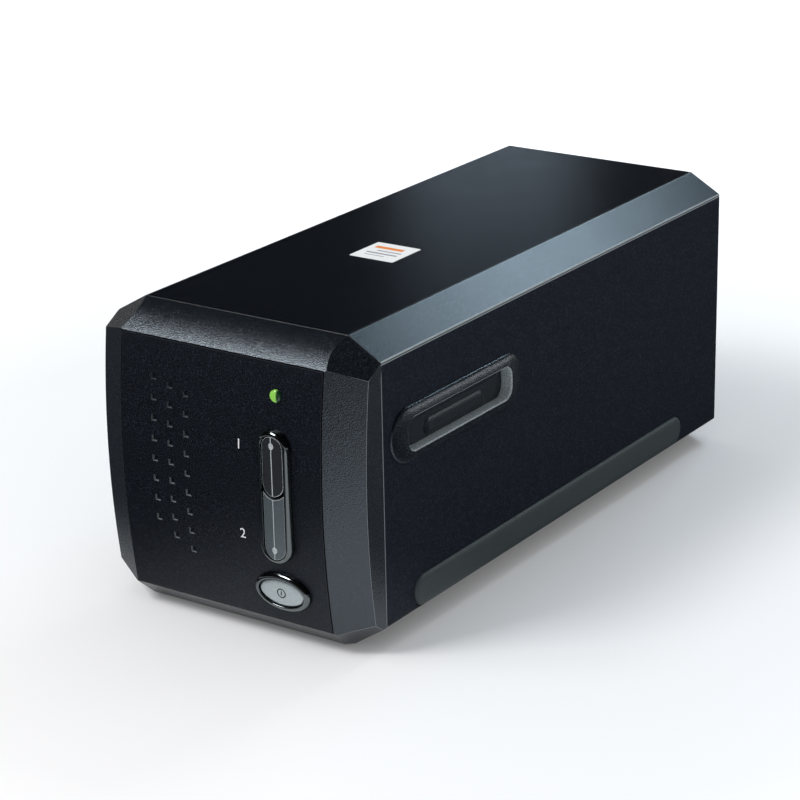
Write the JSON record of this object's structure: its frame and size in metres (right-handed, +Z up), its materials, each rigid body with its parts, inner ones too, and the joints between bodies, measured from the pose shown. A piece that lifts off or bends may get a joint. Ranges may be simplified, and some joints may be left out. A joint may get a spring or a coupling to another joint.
{
  "type": "film negative scanner",
  "caption": "Long eight-sided desktop scanner with a film tunnel across it, sprung dust flaps, front buttons, and a belt-driven lamp and lens carriage inside.",
  "frame": {"origin": "centre of the outer box on the table plane, under the rubber feet", "axes": "+X right as seen from the front, +Y from the front panel to the back, +Z up"},
  "size_m": [0.123, 0.2744, 0.1186],
  "materials": {
    "case_plastic": "fine textured blue-black moulding",
    "top_plastic": "fine textured near-black moulding",
    "panel_plastic": "fine textured front panel",
    "rear_plastic": "fine textured flat panel",
    "flap_plastic": "satin",
    "strip_rubber": "smooth greenish grey",
    "foot_rubber": "matt",
    "label_film": null,
    "black_chrome": "glossy black plating on plastic",
    "dark_satin": "satin dark metallic paint",
    "silver_satin": "satin silver paint on plastic",
    "light_lens": "yellow-green translucent light pipe",
    "led_resin": "clear resin",
    "circuit_board": "green solder mask",
    "lamp_board_mask": "white solder mask",
    "component_black": "moulded component cases",
    "steel_wire": "spring and pin steel",
    "screw_steel": "dark plated",
    "sheet_steel": "zinc plated sheet",
    "rod_steel": "ground and polished",
    "lamp_metal": "bright inside",
    "socket_metal": "tinned shell",
    "motor_steel": "plated can",
    "inner_black": "light-absorbing black",
    "lens_black": "black anodised",
    "lens_glass": "coated",
    "lamp_diffuser": "opal",
    "front_mirror": "front silvered",
    "bush_bronze": "sintered bronze",
    "gear_nylon": "natural nylon",
    "belt_rubber": "ribbed belt",
    "cable_film": "flat ribbon"
  },
  "bodies": {
    "casing": {"lower_case": "case_plastic", "top_cover": "top_plastic", "bezel_frame": "case_plastic", "front_panel": "panel_plastic", "rear_panel": "rear_plastic", "slot_frame_right": "case_plastic", "slot_frame_left": "case_plastic", "flap_pins": "steel_wire", "flap_springs": "steel_wire", "side_strip_right": "strip_rubber", "side_strip_left": "strip_rubber", "rubber_feet": "foot_rubber", "case_screws": "screw_steel", "top_label": "label_film", "button_frame": "black_chrome", "upper_button_spring": "steel_wire", "lower_button_spring": "steel_wire", "power_ring": "black_chrome", "power_button_spring": "steel_wire", "status_lens": "light_lens", "front_board": "circuit_board", "key_switches": "component_black", "status_led": "led_resin", "board_screws": "screw_steel", "chassis_plate": "sheet_steel", "rod_brackets": "sheet_steel", "guide_rods": "rod_steel", "track_brackets": "sheet_steel", "film_track": "inner_black", "drive_plate": "sheet_steel", "idler_bracket": "sheet_steel", "motor": "motor_steel", "drive_belt": "belt_rubber", "main_board": "circuit_board", "board_components": "component_black", "usb_socket": "socket_metal", "power_jack": "component_black", "home_sensor": "component_black", "flat_cable": "cable_film"},
    "upper_button": {"upper_button": "dark_satin"},
    "lower_button": {"lower_button": "silver_satin"},
    "power_button": {"power_button": "silver_satin"},
    "flap_right": {"dust_flap_right": "flap_plastic"},
    "flap_left": {"dust_flap_left": "flap_plastic"},
    "carriage": {"carriage_base": "inner_black", "carriage_bushes": "bush_bronze", "lamp_arm": "inner_black", "lamp_housing": "lamp_metal", "lamp_board": "lamp_board_mask", "diffuser": "lamp_diffuser", "mirror": "front_mirror", "mirror_clips": "bush_bronze", "lens_barrel": "lens_black", "lens_glass": "lens_glass", "lens_strap": "sheet_steel", "ccd_board": "circuit_board", "ccd_sensor": "component_black"},
    "motor_pinion": {"motor_pinion": "bush_bronze"},
    "drive_gear": {"drive_gear": "gear_nylon"},
    "idler_pulley": {"idler_pulley": "gear_nylon"}
  },
  "joints": [
    {"name": "upper_button_press", "type": "slide", "parent": "casing", "child": "upper_button", "axis": [0, 1, 0], "range_m": [0, 0.0008], "stiffness_N_per_m": 400, "springref_m": -0.0005, "deforming": ["upper_button_spring"]},
    {"name": "lower_button_press", "type": "slide", "parent": "casing", "child": "lower_button", "axis": [0, 1, 0], "range_m": [0, 0.0008], "stiffness_N_per_m": 400, "springref_m": -0.0005, "deforming": ["lower_button_spring"]},
    {"name": "power_button_press", "type": "slide", "parent": "casing", "child": "power_button", "axis": [0, 0.9928, 0.1199], "range_m": [0, 0.0008], "stiffness_N_per_m": 400, "springref_m": -0.0005, "deforming": ["power_button_spring"]},
    {"name": "flap_right_swing", "type": "hinge", "parent": "casing", "child": "flap_right", "pos_m": [0.0569, -0.0684, 0.08365], "axis": [0, 1, 0], "range_deg": [0, 75], "stiffness_Nm_per_rad": 0.0015, "springref_deg": -11.46},
    {"name": "flap_left_swing", "type": "hinge", "parent": "casing", "child": "flap_left", "pos_m": [-0.0569, -0.0684, 0.08365], "axis": [0, 1, 0], "range_deg": [0, 75], "stiffness_Nm_per_rad": 0.0015, "springref_deg": -11.46},
    {"name": "carriage_travel", "type": "slide", "parent": "casing", "child": "carriage", "axis": [0, 1, 0], "range_m": [-0.036, 0], "deforming": ["flat_cable"]},
    {"name": "gear_spin", "type": "hinge", "parent": "casing", "child": "drive_gear", "pos_m": [0, 0.1015, 0.03], "axis": [1, 0, 0], "range_deg": [-1, 319]},
    {"name": "idler_spin", "type": "hinge", "parent": "casing", "child": "idler_pulley", "pos_m": [0, -0.098, 0.03], "axis": [1, 0, 0], "range_deg": [-1, 319]},
    {"name": "pinion_spin", "type": "hinge", "parent": "casing", "child": "motor_pinion", "pos_m": [0, 0.1207, 0.03], "axis": [1, 0, 0], "range_deg": [-955, 1]}
  ],
  "couplings": [
    {"joint": "gear_spin", "follows": "carriage_travel", "rad_per_m": -153.85},
    {"joint": "idler_spin", "follows": "carriage_travel", "rad_per_m": -153.85},
    {"joint": "pinion_spin", "follows": "carriage_travel", "rad_per_m": 461.54}
  ]
}
